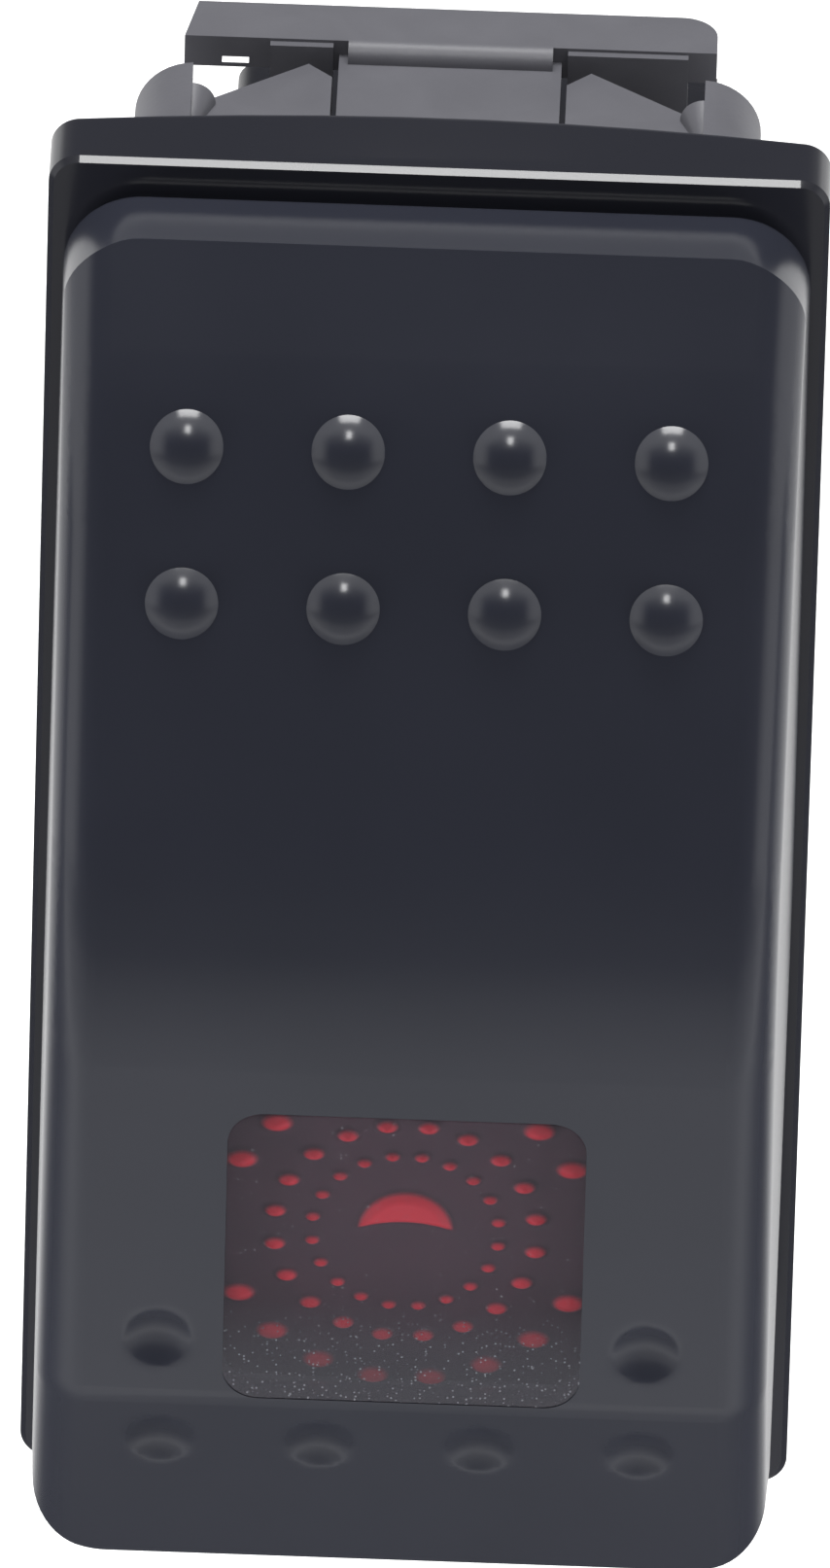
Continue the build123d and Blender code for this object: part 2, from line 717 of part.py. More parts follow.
with BuildPart() as moving_contact:
    # Rivet through the arm with a bevelled head underneath
    under = arm_pivot + arm_along * rivet_row - arm_out * (arm_thickness / 2)
    with BuildSketch(Plane(origin=under, x_dir=arm_along, z_dir=(1, 0, 0))):
        with BuildLine():
            Polyline(
                (0, -rivet_head),
                (rivet_radius - rivet_head / 2, -rivet_head),
                (rivet_radius, 0),
                (rivet_shank, 0),
                (rivet_shank, arm_thickness),
                (rivet_tail, arm_thickness),
                (rivet_tail, arm_thickness + rivet_head / 2),
                (0, arm_thickness + rivet_head / 2),
                (0, -rivet_head),
            )
        make_face()
    revolve(axis=Axis(under, arm_out))
moving_contact.part.label = "moving_contact"
export_step(moving_contact.part, "parts/moving_contact.step")

# ================================================================ terminals
blade_end = base_bottom + blade_reach
half_blade = blade_width / 2
half_lead = lead_pitch / 2


def blade_plane(row):
    """Plane of a blade's flat at `row`, with local y outwards from the panel."""
    return Plane(origin=(0, 0, row), x_dir=(1, 0, 0), z_dir=(0, 0, -1))


def blade_profile():
    """Blade from the chamber's floor down, with a pierced and tapered tip."""
    with BuildSketch() as profile:
        with Locations((0, -(cavity_floor + blade_end) / 2)):
            Rectangle(blade_width, blade_end - cavity_floor)
        chamfer(profile.vertices().group_by(Axis.Y)[0], length=blade_tip)
        with Locations((0, -blade_end + blade_reach / 2)):
            Circle(blade_hole, mode=Mode.SUBTRACT)
    return profile.sketch


# Contact button of the supply terminal, where the arm's rivet comes down to
closed_depth = arm_depth + rivet_row * sin(tilt_arm) + (arm_thickness / 2 + rivet_head) * cos(tilt_arm)
pad_depth = closed_depth + contact_gap + rivet_head
pad_row = rivet_row * cos(tilt_arm) - (arm_thickness / 2 + rivet_head) * sin(tilt_arm)

with BuildPart() as supply_terminal:
    with BuildSketch(blade_plane(blade_pitch)):
        add(blade_profile())
        with Locations((0, -(pad_depth + cavity_floor) / 2)):
            Rectangle(blade_width, cavity_floor - pad_depth)
    extrude(amount=blade_thickness / 2, both=True)
    with BuildSketch(panel(-pad_depth)):
        with Locations((0, pad_row)):
            RectangleRounded(blade_width, 2 * rivet_radius + blade_thickness, pad_corner)
    extrude(amount=-blade_thickness)
supply_terminal.part.label = "supply_terminal"
export_step(supply_terminal.part, "parts/supply_terminal.step")

with BuildPart() as fixed_contact:
    with BuildSketch(panel(-pad_depth)):
        with Locations((0, pad_row)):
            Circle(rivet_radius)
    extrude(amount=rivet_head)
    chamfer(fixed_contact.edges().group_by(Axis.Y)[0], length=rivet_head / 4)
fixed_contact.part.label = "fixed_contact"
export_step(fixed_contact.part, "parts/fixed_contact.step")

saddle_depth = arm_depth + arm_thickness / 2 + fulcrum_gap
fork_depth = arm_depth - arm_thickness / 2 - fork_rise
with BuildPart() as load_terminal:
    # Fork whose saddle carries the contact arm like a seesaw
    with BuildSketch(blade_plane(0)):
        add(blade_profile())
        with Locations((0, -(fork_depth + cavity_floor) / 2)):
            Rectangle(blade_width, cavity_floor - fork_depth)
        with Locations((0, -(fork_depth + saddle_depth) / 2)):
            Rectangle(arm_waist + 2 * fork_gap, saddle_depth - fork_depth, mode=Mode.SUBTRACT)
    extrude(amount=blade_thickness / 2, both=True)
    saddle = load_terminal.faces().filter_by(Axis.Y).sort_by_distance((0, saddle_depth, 0))[0]
    chamfer(saddle.edges().filter_by(Axis.X), length=fork_knife)
load_terminal.part.label = "load_terminal"
export_step(load_terminal.part, "parts/load_terminal.step")

with BuildPart() as ground_terminal:
    # Post on one side only, with a foot that takes the lamp's lead
    with BuildSketch(blade_plane(-blade_pitch)):
        add(blade_profile())
        with Locations((-half_blade / 2, -(foot_depth + cavity_floor) / 2)):
            Rectangle(half_blade, cavity_floor - foot_depth)
    extrude(amount=blade_thickness / 2, both=True)
    with BuildSketch(panel(-foot_depth)):
        with Locations((-half_lead, -(lamp_row + link_width / 2 + blade_pitch) / 2)):
            Rectangle(link_width, lamp_row + link_width / 2 - blade_pitch)
    extrude(amount=-foot_thickness)
ground_terminal.part.label = "ground_terminal"
export_step(ground_terminal.part, "parts/ground_terminal.step")

# ================================================================ lamp
with BuildPart() as lamp:
    # Flanged lamp with a bevelled top, standing on the lid
    with BuildSketch(Plane(origin=(0, base_top, -lamp_row), x_dir=(1, 0, 0), z_dir=(0, 0, -1))):
        with BuildLine():
            Polyline(
                (0, lamp_body),
                (0, 0),
                (lamp_flange_radius, 0),
                (lamp_flange_radius, lamp_flange),
                (lamp_radius, lamp_flange),
                (lamp_radius, lamp_body - 2 * lamp_bevel),
                (lamp_radius - lamp_bevel, lamp_body - lamp_bevel / 2),
                (lamp_radius - 2 * lamp_bevel, lamp_body),
                (0, lamp_body),
            )
        make_face()
    revolve(axis=Axis((0, base_top, -lamp_row), (0, -1, 0)))
lamp.part.label = "lamp"
export_step(lamp.part, "parts/lamp.step")

leads = (
    ("lamp_lead_ground", -half_lead, foot_depth),
    ("lamp_lead_supply", half_lead, resistor_top),
)
for name, across, end_depth in leads:
    with BuildPart() as lead:
        with BuildSketch(panel(-base_top)):
            with Locations((across, -lamp_row)):
                Rectangle(lead_size, lead_size)
        extrude(amount=-(end_depth - base_top))
    lead.part.label = name
    export_step(lead.part, f"parts/{name}.step")

with BuildPart() as series_resistor:
    with BuildSketch(panel(-resistor_top)):
        with Locations((half_lead, -lamp_row)):
            Circle(resistor_radius)
    extrude(amount=-resistor_length)
    with BuildSketch(panel(-resistor_top - resistor_length / 2)):
        with Locations((half_lead, -lamp_row)):
            Circle(lead_size / 2)
    extrude(amount=-(foot_depth - resistor_top - resistor_length / 2))
series_resistor.part.label = "series_resistor"
export_step(series_resistor.part, "parts/series_resistor.step")

with BuildPart() as lamp_link:
    # Strip that feeds the lamp from the load terminal
    link_end = lamp_row + link_width / 2
    with BuildSketch(panel(-foot_depth)):
        with Locations((half_lead, -(link_end + blade_thickness / 2) / 2)):
            Rectangle(link_width, link_end - blade_thickness / 2)
    extrude(amount=-foot_thickness)
lamp_link.part.label = "lamp_link"
export_step(lamp_link.part, "parts/lamp_link.step")
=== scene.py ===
"""Illuminated panel rocker switch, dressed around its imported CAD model.

The sections follow the switch as it is put together: moulded bracket, base and contacts,
lamp, plunger, then the rocker with its window, and last the studio.
"""
from math import cos, hypot, pi, radians, sin

import bmesh
import bpy
from mathutils import Matrix, Vector


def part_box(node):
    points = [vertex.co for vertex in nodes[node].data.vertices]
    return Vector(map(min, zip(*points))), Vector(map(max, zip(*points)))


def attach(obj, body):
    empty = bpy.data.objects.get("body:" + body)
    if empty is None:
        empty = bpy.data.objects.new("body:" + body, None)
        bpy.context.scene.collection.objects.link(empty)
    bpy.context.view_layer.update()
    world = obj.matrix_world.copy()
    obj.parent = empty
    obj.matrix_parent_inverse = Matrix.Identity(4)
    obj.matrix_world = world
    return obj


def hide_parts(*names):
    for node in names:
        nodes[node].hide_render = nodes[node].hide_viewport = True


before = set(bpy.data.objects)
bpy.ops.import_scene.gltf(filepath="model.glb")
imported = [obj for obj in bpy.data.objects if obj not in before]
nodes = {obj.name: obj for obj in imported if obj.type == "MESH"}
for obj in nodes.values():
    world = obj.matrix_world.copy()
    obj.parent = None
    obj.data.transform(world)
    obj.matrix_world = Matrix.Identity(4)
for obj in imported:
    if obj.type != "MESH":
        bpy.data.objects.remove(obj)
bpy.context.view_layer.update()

# ------------------------------------------------------------------ bezel bracket
# One moulding in glass-filled black nylon: bezel, four-walled shroud and sprung tongues.
# The bezel takes a gloss from the polished half of the mould.  Behind the panel the mould is
# spark-eroded, so the shroud, its webs and cross bars come out matt.  They are also painted a
# little paler, and part of that paler grey is painted light standing in for the overhead lamp.


def linear(code, alpha=1.0):
    """Turns an sRGB hex code into the linear colour that a shader takes."""
    shares = [int(code[i:i + 2], 16) / 255 for i in (0, 2, 4)]
    return [c / 12.92 if c <= 0.04045 else ((c + 0.055) / 1.055) ** 2.4 for c in shares] + [alpha]


def add(tree, kind, sockets=None, **settings):
    """Adds a shader node with its settings; a socket takes a value or another node's output."""
    made = tree.nodes.new("ShaderNode" + kind)
    for name, value in settings.items():
        setattr(made, name, value)
    for name, value in (sockets or {}).items():
        if isinstance(value, bpy.types.NodeSocket):
            tree.links.new(value, made.inputs[name])
        else:
            made.inputs[name].default_value = value
    return made


def blank(name):
    """An empty material: its node tree, its output node and the place on the piece in millimetres."""
    material = bpy.data.materials.new(name)
    material.use_nodes = True
    tree = material.node_tree
    tree.nodes.clear()
    out = add(tree, "OutputMaterial")
    place = add(tree, "TexCoord").outputs["Object"]
    millimetres = add(tree, "VectorMath", {0: place, "Scale": 1000.0}, operation="SCALE")
    return material, tree, out, millimetres.outputs["Vector"]


def dress(material, *names):
    """Gives CAD nodes their finish, smooth across rounded faces and sharp at real edges."""
    for name in names:
        mesh = nodes[name].data
        mesh.materials.clear()
        mesh.materials.append(material)
        mesh.polygons.foreach_set("use_smooth", [True] * len(mesh.polygons))
        mesh.set_sharp_from_angle(angle=radians(30))


nylon, tree, out, place = blank("nylon_glass_filled_moulded")
depth = add(tree, "SeparateXYZ", {0: place}).outputs["Y"]
behind = add(tree, "MapRange", {"Value": depth, "From Min": -0.1, "From Max": 0.3}).outputs["Result"]
# Flow marks a few millimetres long, and erosion pits drawn at 0.25 mm so that they show
flow = add(tree, "TexNoise", {
    "Vector": place, "Scale": 0.35, "Detail": 3.0, "Distortion": 0.6}).outputs["Fac"]
pits = add(tree, "TexNoise", {
    "Vector": place, "Scale": 4.0, "Detail": 4.0, "Roughness": 0.6}).outputs["Fac"]
# Paler grey behind the panel, partly painted light from overhead, varied by the flow marks
rear_grey_and_painted_light = add(tree, "Mix", {"Factor": flow, "A": linear("54545a"), "B": linear("66666c")}, data_type="RGBA")
tone = add(tree, "Mix", {
    "Factor": behind, "A": linear("26272e"), "B": rear_grey_and_painted_light.outputs["Result"]}, data_type="RGBA")
rough = add(tree, "MapRange", {"Value": behind, "To Min": 0.13, "To Max": 0.45}).outputs["Result"]
relief = add(tree, "MapRange", {"Value": behind, "To Min": 0.02, "To Max": 0.16}).outputs["Result"]
bump = add(tree, "Bump", {"Height": pits, "Strength": relief, "Distance": 0.00005})
shader = add(tree, "BsdfPrincipled", {
    "Base Color": tone.outputs["Result"], "Roughness": rough, "IOR": 1.53, "Normal": bump.outputs["Normal"]})
tree.links.new(shader.outputs["BSDF"], out.inputs["Surface"])
dress(nylon, "bezel_bracket")

# ------------------------------------------------------------------ base
# Box that carries the contacts, moulded in black polyester with polished flanks.  It is
# pushed into the shroud from behind, where its two wedge latches snap into windows.
polyester, tree, out, place = blank("polyester_black_moulded")
# Faint moulding waves about 2 mm apart on a bright black skin
waves = add(tree, "TexNoise", {"Vector": place, "Scale": 0.5, "Detail": 2.0}).outputs["Fac"]
rough = add(tree, "MapRange", {"Value": waves, "To Min": 0.2, "To Max": 0.32}).outputs["Result"]
bump = add(tree, "Bump", {"Height": waves, "Strength": 0.05, "Distance": 0.0001})
shader = add(tree, "BsdfPrincipled", {
    "Base Color": linear("1a1b22"), "Roughness": rough, "IOR": 1.57, "Normal": bump.outputs["Normal"]})
tree.links.new(shader.outputs["BSDF"], out.inputs["Surface"])
dress(polyester, "base")

# ------------------------------------------------------------------ terminals
# Three 6.3 mm blades stamped from half-hard brass and a strip that feeds the lamp.  They
# are pressed through the base's floor, and stamping leaves fine drag lines along them.
brass, tree, out, place = blank("brass_stamped")
stretched = add(tree, "VectorMath", {0: place, 1: (6.0, 0.3, 6.0)}, operation="MULTIPLY").outputs["Vector"]
drag = add(tree, "TexNoise", {"Vector": stretched, "Scale": 1.2, "Detail": 4.0}).outputs["Fac"]
tarnish = add(tree, "TexNoise", {"Vector": place, "Scale": 0.4, "Detail": 3.0}).outputs["Fac"]
tone = add(tree, "Mix", {"Factor": tarnish, "A": linear("d9be7c"), "B": linear("c2a463")}, data_type="RGBA")
rough = add(tree, "MapRange", {"Value": drag, "To Min": 0.2, "To Max": 0.42}).outputs["Result"]
bump = add(tree, "Bump", {"Height": drag, "Strength": 0.08, "Distance": 0.00002})
shader = add(tree, "BsdfPrincipled", {
    "Base Color": tone.outputs["Result"], "Metallic": 1.0, "Roughness": rough,
    "Normal": bump.outputs["Normal"]})
tree.links.new(shader.outputs["BSDF"], out.inputs["Surface"])
dress(brass, "supply_terminal", "load_terminal", "ground_terminal", "lamp_link")

# ------------------------------------------------------------------ potting
# Black epoxy poured round the blades to seal the base.  It sets with a bright, slightly
# uneven skin that has pulled up against the walls.
epoxy, tree, out, place = blank("epoxy_cast")
skin = add(tree, "TexNoise", {"Vector": place, "Scale": 0.8, "Detail": 2.0}).outputs["Fac"]
rough = add(tree, "MapRange", {"Value": skin, "To Min": 0.08, "To Max": 0.2}).outputs["Result"]
bump = add(tree, "Bump", {"Height": skin, "Strength": 0.3, "Distance": 0.0002})
shader = add(tree, "BsdfPrincipled", {
    "Base Color": linear("17171a"), "Roughness": rough, "IOR": 1.55, "Normal": bump.outputs["Normal"]})
tree.links.new(shader.outputs["BSDF"], out.inputs["Surface"])
dress(epoxy, "terminal_potting")

# ------------------------------------------------------------------ contact arm and contacts
# The seesaw arm is stamped from copper strip and rocks on the load blade's fork.  The rivet
# at its end and the button that it meets are silver alloy, dull from arcing.
copper, tree, out, place = blank("copper_rolled")
rolled = add(tree, "VectorMath", {0: place, 1: (8.0, 8.0, 0.5)}, operation="MULTIPLY").outputs["Vector"]
lines = add(tree, "TexNoise", {"Vector": rolled, "Scale": 1.0, "Detail": 3.0}).outputs["Fac"]
rough = add(tree, "MapRange", {"Value": lines, "To Min": 0.22, "To Max": 0.4}).outputs["Result"]
shader = add(tree, "BsdfPrincipled", {"Base Color": linear("d18b68"), "Metallic": 1.0, "Roughness": rough})
tree.links.new(shader.outputs["BSDF"], out.inputs["Surface"])
dress(copper, "contact_arm")

silver, tree, out, place = blank("silver_alloy_headed")
# Arc marks are soft grey patches about half a millimetre wide
arcs = add(tree, "TexNoise", {"Vector": place, "Scale": 2.0, "Detail": 3.0}).outputs["Fac"]
tone = add(tree, "Mix", {"Factor": arcs, "A": linear("dfdcd6"), "B": linear("a9a49c")}, data_type="RGBA")
rough = add(tree, "MapRange", {"Value": arcs, "To Min": 0.3, "To Max": 0.5}).outputs["Result"]
shader = add(tree, "BsdfPrincipled", {
    "Base Color": tone.outputs["Result"], "Metallic": 1.0, "Roughness": rough})
tree.links.new(shader.outputs["BSDF"], out.inputs["Surface"])
dress(silver, "moving_contact", "fixed_contact")

# ------------------------------------------------------------------ lid
# Punched from natural phenolic paper board, which is brown with darker fibres, and dropped
# into the rebate at the top of the base.
phenolic, tree, out, place = blank("phenolic_board_punched")
fibre = add(tree, "TexNoise", {
    "Vector": place, "Scale": 3.0, "Detail": 6.0, "Distortion": 1.5}).outputs["Fac"]
tone = add(tree, "Mix", {"Factor": fibre, "A": linear("7a4c26"), "B": linear("94642f")}, data_type="RGBA")
shader = add(tree, "BsdfPrincipled", {"Base Color": tone.outputs["Result"], "Roughness": 0.45, "IOR": 1.6})
tree.links.new(shader.outputs["BSDF"], out.inputs["Surface"])
dress(phenolic, "base_lid")

# ------------------------------------------------------------------ lamp
# A red flanged lamp of cast epoxy stands on the lid.  Its two leads are tinned steel, and
# one of them runs into a resistor with a fired lacquer coat.
lamp_epoxy, tree, out, place = blank("epoxy_red_cast")
cloud = add(tree, "TexNoise", {"Vector": place, "Scale": 1.0, "Detail": 2.0}).outputs["Fac"]
tone = add(tree, "Mix", {"Factor": cloud, "A": linear("c4232b"), "B": linear("d8323a")}, data_type="RGBA")
shader = add(tree, "BsdfPrincipled", {"Base Color": tone.outputs["Result"], "Roughness": 0.12, "IOR": 1.55})
tree.links.new(shader.outputs["BSDF"], out.inputs["Surface"])
dress(lamp_epoxy, "lamp")

tinned, tree, out, place = blank("steel_tinned")
dip = add(tree, "TexNoise", {"Vector": place, "Scale": 3.0, "Detail": 3.0}).outputs["Fac"]
rough = add(tree, "MapRange", {"Value": dip, "To Min": 0.22, "To Max": 0.38}).outputs["Result"]
shader = add(tree, "BsdfPrincipled", {"Base Color": linear("c9cacb"), "Metallic": 1.0, "Roughness": rough})
tree.links.new(shader.outputs["BSDF"], out.inputs["Surface"])
dress(tinned, "lamp_lead_ground", "lamp_lead_supply")

lacquer, tree, out, place = blank("lacquer_fired")
drip = add(tree, "TexNoise", {"Vector": place, "Scale": 1.5, "Detail": 2.0}).outputs["Fac"]
tone = add(tree, "Mix", {"Factor": drip, "A": linear("6f8f9a"), "B": linear("7d9ca6")}, data_type="RGBA")
shader = add(tree, "BsdfPrincipled", {"Base Color": tone.outputs["Result"], "Roughness": 0.3, "IOR": 1.5})
tree.links.new(shader.outputs["BSDF"], out.inputs["Surface"])
dress(lacquer, "series_resistor")

# ------------------------------------------------------------------ pivot pins
# Two steel pins, ground to size and pressed through the shroud's side walls.  The rocker's
# core turns on them with a little clearance.
steel, tree, out, place = blank("steel_ground")
ground = add(tree, "TexNoise", {"Vector": place, "Scale": 6.0, "Detail": 3.0}).outputs["Fac"]
rough = add(tree, "MapRange", {"Value": ground, "To Min": 0.18, "To Max": 0.34}).outputs["Result"]
shader = add(tree, "BsdfPrincipled", {"Base Color": linear("b9bbbe"), "Metallic": 1.0, "Roughness": rough})
tree.links.new(shader.outputs["BSDF"], out.inputs["Surface"])
dress(steel, "pivot_pin_left", "pivot_pin_right")

# ------------------------------------------------------------------ plunger and spring
# The plunger is turned from white acetal, which is waxy and shows faint tool marks round it.
# Behind it sits a coil of drawn spring steel.
acetal, tree, out, place = blank("acetal_turned")
marks = add(tree, "TexNoise", {"Vector": place, "Scale": 5.0, "Detail": 2.0}).outputs["Fac"]
bump = add(tree, "Bump", {"Height": marks, "Strength": 0.05, "Distance": 0.00003})
shader = add(tree, "BsdfPrincipled", {
    "Base Color": linear("e7e5dd"), "Roughness": 0.35, "IOR": 1.48, "Normal": bump.outputs["Normal"]})
tree.links.new(shader.outputs["BSDF"], out.inputs["Surface"])
dress(acetal, "plunger")

spring_steel, tree, out, place = blank("steel_drawn")
drawn = add(tree, "TexNoise", {"Vector": place, "Scale": 8.0, "Detail": 2.0}).outputs["Fac"]
rough = add(tree, "MapRange", {"Value": drawn, "To Min": 0.2, "To Max": 0.3}).outputs["Result"]
shader = add(tree, "BsdfPrincipled", {"Base Color": linear("8f9194"), "Metallic": 1.0, "Roughness": rough})
tree.links.new(shader.outputs["BSDF"], out.inputs["Surface"])
dress(spring_steel, "plunger_spring")

# ------------------------------------------------------------------ rocker
# Moulded in slate-black polycarbonate.  A fine texture in the mould leaves it satin, so it
# mirrors the room softly.  It hangs on the two pins.
satin, tree, out, place = blank("polycarbonate_satin_moulded")
# Mould texture of about 0.2 mm, and handling that polishes the skin in patches
texture = add(tree, "TexNoise", {"Vector": place, "Scale": 5.0, "Detail": 3.0}).outputs["Fac"]
handled = add(tree, "TexNoise", {"Vector": place, "Scale": 0.16, "Detail": 2.0}).outputs["Fac"]
tone = add(tree, "Mix", {"Factor": handled, "A": linear("2b2d36"), "B": linear("2f313b")}, data_type="RGBA")
rough = add(tree, "MapRange", {"Value": handled, "To Min": 0.18, "To Max": 0.24}).outputs["Result"]
bump = add(tree, "Bump", {"Height": texture, "Strength": 0.03, "Distance": 0.00003})
shader = add(tree, "BsdfPrincipled", {
    "Base Color": tone.outputs["Result"], "Roughness": rough, "IOR": 1.585, "Normal": bump.outputs["Normal"]})
tree.links.new(shader.outputs["BSDF"], out.inputs["Surface"])


def joined(node):
    """The solid of a CAD node as one closed mesh, with the seams between its faces kept sharp."""
    shape = bmesh.new()
    shape.from_mesh(nodes[node].data)
    for edge in shape.edges:
        edge.smooth = not edge.is_boundary
    bmesh.ops.remove_doubles(shape, verts=shape.verts, dist=1e-6)
    bmesh.ops.recalc_face_normals(shape, faces=shape.faces)
    return shape


def finish_piece(name, shape, material, node, body):
    """Turns a bmesh into a piece that stands for a CAD node and rides on its body."""
    mesh = bpy.data.meshes.new(name)
    shape.to_mesh(mesh)
    shape.free()
    mesh.materials.append(material)
    mesh.polygons.foreach_set("use_smooth", [True] * len(mesh.polygons))
    piece = bpy.data.objects.new(name, mesh)
    bpy.context.collection.objects.link(piece)
    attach(piece, body)
    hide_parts(node)
    return piece


# The crown's dimples run into the face without an edge.  Here the crown is cut into small
# cells round each of them, and those cells are relaxed.
mm = 0.001
tilt = radians(7.5)         # of the rocker at rest, towards its window
outwards = Vector((0, -cos(tilt), sin(tilt)))
lengthwise = Vector((0, sin(tilt), cos(tilt)))
pivot = Vector((0, 0.5 * mm, 0))
pair_column, pair_row = 8.05, -14.9         # the two dimples beside the window
line_pitch, line_row = 5.28, -19.3          # the four below it
dimples = [(side * pair_column, pair_row) for side in (-1, 1)]
dimples += [(k * line_pitch, line_row) for k in (-1.5, -0.5, 0.5, 1.5)]
crown_level = 9.0           # every face of the crown lies further out than this
cell_half = 1.65            # half the side of the square that is cut into cells
cells_across = 20
still_rim = 0.15            # left in place along the square's border
relax_passes = 9
steepest_crown = 0.3        # least dot product of a crown face's normal with outwards
steepest_flat = 0.85        # the same for its flats
flat_count = 3              # upper face, window face and the slope below it
flat_error = 0.004 * mm
shape = joined("rocker")


def on_crown(point):
    """Place of a point on the crown: across it and along it, in millimetres from its middle."""
    return point.x / mm, (point - pivot).dot(lengthwise) / mm


def cut(faces, offset, along):
    """Cuts faces by a plane across X or across the rocker's length and returns the pieces."""
    # Dictionaries keep their order, so that each run numbers the cells alike
    edges = list(dict.fromkeys(edge for face in faces for edge in face.edges))
    corners = list(dict.fromkeys(vertex for face in faces for vertex in face.verts))
    result = bmesh.ops.bisect_plane(
        shape, geom=edges + corners + faces, plane_co=pivot + along * offset * mm, plane_no=along)
    return [part for part in result["geom"] if isinstance(part, bmesh.types.BMFace)]


flats = []                  # a point on each flat of the crown, and its normal
for face in sorted(shape.faces, key=lambda face: -face.calc_area()):
    if (len(flats) < flat_count and face.normal.dot(outwards) > steepest_flat
            and all(face.normal.angle(normal) > radians(2) for at, normal in flats)):
        flats.append((face.verts[0].co.copy(), face.normal.copy()))
for column, row in dimples:
    # Faces of the crown that reach into the dimple's square
    around = []
    for face in shape.faces:
        height = (face.calc_center_median() - pivot).dot(outwards)
        if face.normal.dot(outwards) > steepest_crown and height > crown_level * mm:
            across, down = zip(*(on_crown(vertex.co) for vertex in face.verts))
            if (min(across) < column + cell_half and max(across) > column - cell_half
                    and min(down) < row + cell_half and max(down) > row - cell_half):
                around.append(face)
    sides = ((column, Vector((1, 0, 0))), (row, lengthwise))
    for middle, along in sides:
        around = cut(cut(around, middle - cell_half, along), middle + cell_half, along)
    inside = []
    for face in around:
        x, z = on_crown(face.calc_center_median())
        if abs(x - column) < cell_half and abs(z - row) < cell_half:
            inside.append(face)
    for middle, along in sides:
        for k in range(1, cells_across):
            inside = cut(inside, middle + cell_half * (2 * k / cells_across - 1), along)
    moved = []
    for vertex in dict.fromkeys(vertex for face in inside for vertex in face.verts):
        x, z = on_crown(vertex.co)
        if hypot(x - column, z - row) < cell_half - still_rim:
            moved.append(vertex)
    for _ in range(relax_passes):
        bmesh.ops.smooth_vert(
            shape, verts=moved, factor=0.5, use_axis_x=True, use_axis_y=True, use_axis_z=True)
    for vertex in moved:
        for edge in vertex.link_edges:
            edge.smooth = True
# The crown's flats are shaded flat, because cutting leaves slivers among their triangles
shape.faces.index_update()
level_faces = [
    face.index for face in shape.faces
    if any(all(abs((vertex.co - at).dot(normal)) < flat_error for vertex in face.verts)
           for at, normal in flats)]
rocker = finish_piece("rocker_moulding", shape, satin, "rocker", "actuator")
for index in level_faces:
    rocker.data.polygons[index].use_smooth = False
weighted = rocker.modifiers.new("even_faces", "WEIGHTED_NORMAL")
weighted.keep_sharp = True
weighted.weight = 100

# ------------------------------------------------------------------ diffuser
# Plate behind the window, moulded in clear red polycarbonate and printed dark on its flats.
# A crescent and rings of low hills stand out of the print, and a painted glow brightens them.
plate_thickness = 0.8 * mm
plate_corner = 1.2 * mm
cell = 0.1 * mm
hill_height = 0.3 * mm
hills_in_ring = 20
hill_squash = 1.5           # the hills are this much longer across the plate than up it
# Each ring's radius and its hills' radius in millimetres, and its share of the height
rings = ((3.1, 0.36, 0.85), (4.35, 0.5, 1.0), (6.1, 0.74, 1.0))
window_half = 5.7
crescent_radius = 1.65
crescent_squash = 0.98
crescent_hollow = 0.32      # rise of the curved foot in its middle
crescent_slope = 0.35       # width of the flank round it
foot_steepness = 1.2
diffuser_mesh = nodes["diffuser"].data
flat = max(diffuser_mesh.polygons, key=lambda polygon: polygon.area).normal
facing = -flat if flat.y > 0 else flat.copy()
upright = Vector((1, 0, 0)).cross(-facing).normalized()
upright = upright if upright.z > 0 else -upright
levels = [vertex.co.dot(facing) for vertex in diffuser_mesh.vertices]
rows = [vertex.co.dot(upright) for vertex in diffuser_mesh.vertices]
half_plate = (max(rows) - min(rows)) / 2
plate_front = min(levels) + plate_thickness
plate_middle = upright * (max(rows) + min(rows)) / 2


def swell(distance, radius):
    """Height of a rounded hill at a distance from its middle, as a share of its own."""
    return 0.5 + 0.5 * cos(pi * distance / radius) if distance < radius else 0.0


def relief_at(x, z):
    """Height of the diffuser's relief over the plate, as a share of the hills' height."""
    height = 0.0
    for ring, radius, share in rings:
        if abs(hypot(x, z) - ring) < 2 * radius:
            for k in range(hills_in_ring):
                turn = 2 * pi * (k + 0.5) / hills_in_ring
                away = hypot(x - ring * cos(turn), (z - ring * sin(turn)) * hill_squash)
                # The hills that would meet the window's sides are left out
                if abs(ring * cos(turn)) < window_half:
                    height = max(height, share * swell(away, radius))
    # The crescent is a half disc whose straight side is hollowed a little
    foot = crescent_hollow * (1 - (x / crescent_radius) ** 2)
    inside = min(crescent_radius - hypot(x, z * crescent_squash), (z - foot) * foot_steepness)
    return max(height, min(1.0, max(0.0, inside / crescent_slope)))


steps = int(2 * half_plate / cell)
shape = bmesh.new()
grid = []
for i in range(steps + 1):
    column = []
    for j in range(steps + 1):
        u = -half_plate + 2 * half_plate * i / steps
        v = -half_plate + 2 * half_plate * j / steps
        over_u = abs(u) - (half_plate - plate_corner)
        over_v = abs(v) - (half_plate - plate_corner)
        if over_u > 0 and over_v > 0:
            # Squeezes the square's corner into the plate's rounded one
            pull = max(over_u, over_v) / hypot(over_u, over_v)
            u -= (1 - pull) * over_u * (1 if u > 0 else -1)
            v -= (1 - pull) * over_v * (1 if v > 0 else -1)
        rise = relief_at(u / mm, v / mm) * hill_height
        point = plate_middle + Vector((u, 0, 0)) + upright * v + facing * (plate_front + rise)
        column.append(shape.verts.new(point))
    grid.append(column)
for i in range(steps):
    for j in range(steps):
        shape.faces.new((grid[i][j], grid[i + 1][j], grid[i + 1][j + 1], grid[i][j + 1]))
rim = ([grid[i][0] for i in range(steps)] + [grid[steps][j] for j in range(steps)]
       + [grid[i][steps] for i in range(steps, 0, -1)] + [grid[0][j] for j in range(steps, 0, -1)])
back_rim = [shape.verts.new(v.co - facing * (v.co.dot(facing) - min(levels))) for v in rim]
for k, front_vertex in enumerate(rim):
    following = (k + 1) % len(rim)
    shape.faces.new((front_vertex, back_rim[k], back_rim[following], rim[following]))
